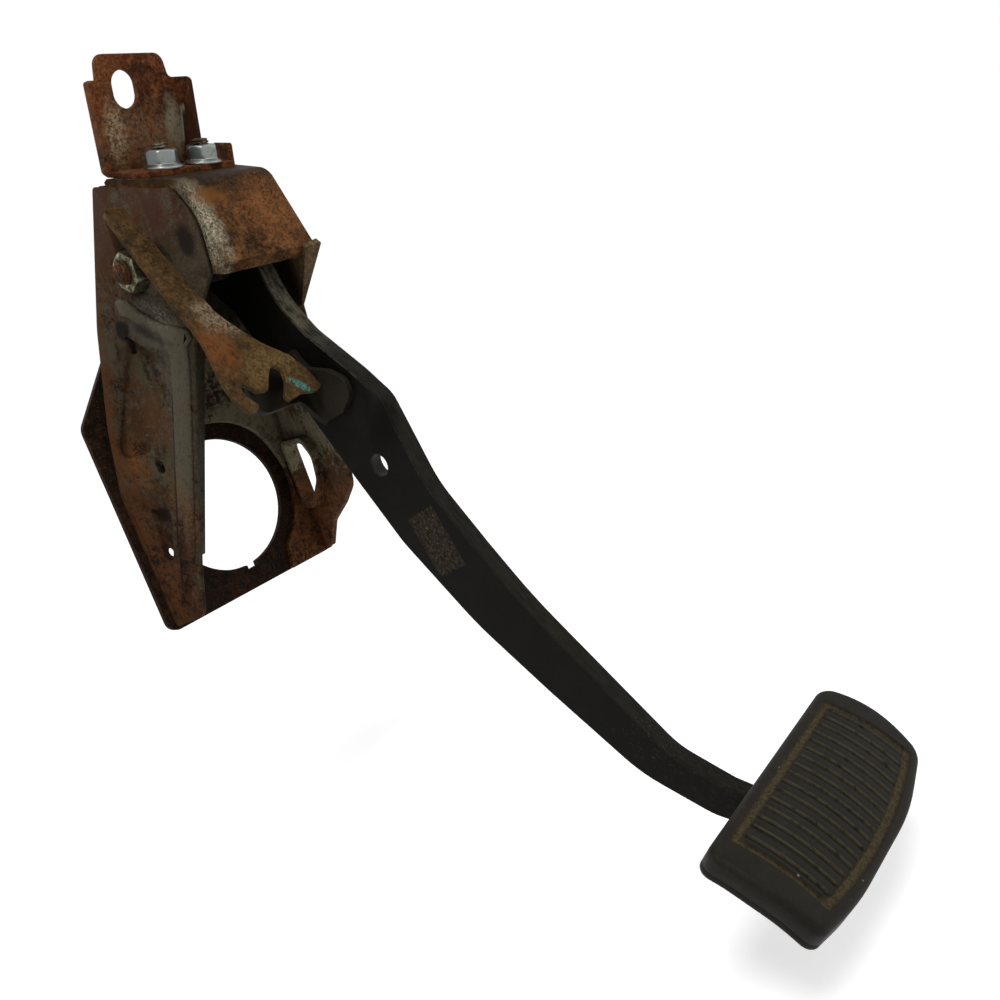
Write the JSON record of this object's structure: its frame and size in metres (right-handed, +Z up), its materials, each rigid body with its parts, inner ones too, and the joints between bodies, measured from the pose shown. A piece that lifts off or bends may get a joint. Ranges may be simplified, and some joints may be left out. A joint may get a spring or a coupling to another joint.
{
  "type": "brake pedal",
  "caption": "Brake pedal hanging in a pressed steel firewall bracket, with ribbed rubber pad, stop-switch paddle, top stay bracket and booster opening.",
  "frame": {"origin": "centre of the round booster opening, on the face that lies against the firewall", "axes": "+X to the driver's right along the pivot, +Y forward out of the firewall face, +Z up"},
  "size_m": [0.1334, 0.3139, 0.4015],
  "materials": {
    "rusty_plate": "old paint worn through to brown rust",
    "grey_paint": "grey paint with brown rust in patches",
    "black_paint": "satin black",
    "zinc": "zinc plated, satin",
    "bare_steel": "plain turned steel",
    "bush": "smooth off-white plastic",
    "rubber": "matt moulded rubber"
  },
  "bodies": {
    "housing": {"base_plate": "rusty_plate", "left_side_plate": "grey_paint", "right_side_plate": "grey_paint", "hood_channel": "rusty_plate", "top_bracket": "rusty_plate", "top_stud_left": "rusty_plate", "top_stud_right": "rusty_plate", "top_nut_left": "zinc", "top_nut_right": "zinc", "switch_bracket": "rusty_plate", "pivot_bolt": "rusty_plate", "pivot_nut": "zinc", "pivot_sleeve": "bare_steel"},
    "pedal": {"bush_left": "bush", "bush_right": "bush", "hub_tube": "black_paint", "pedal_arm": "black_paint", "stop_switch_striker": "black_paint", "pad_plate": "black_paint", "rubber_pad": "rubber"}
  },
  "joints": [
    {"name": "pedal_pivot", "type": "hinge", "parent": "housing", "child": "pedal", "pos_m": [0, -0.0696, 0.119], "axis": [1, 0, 0], "range_deg": [0, 25]}
  ]
}
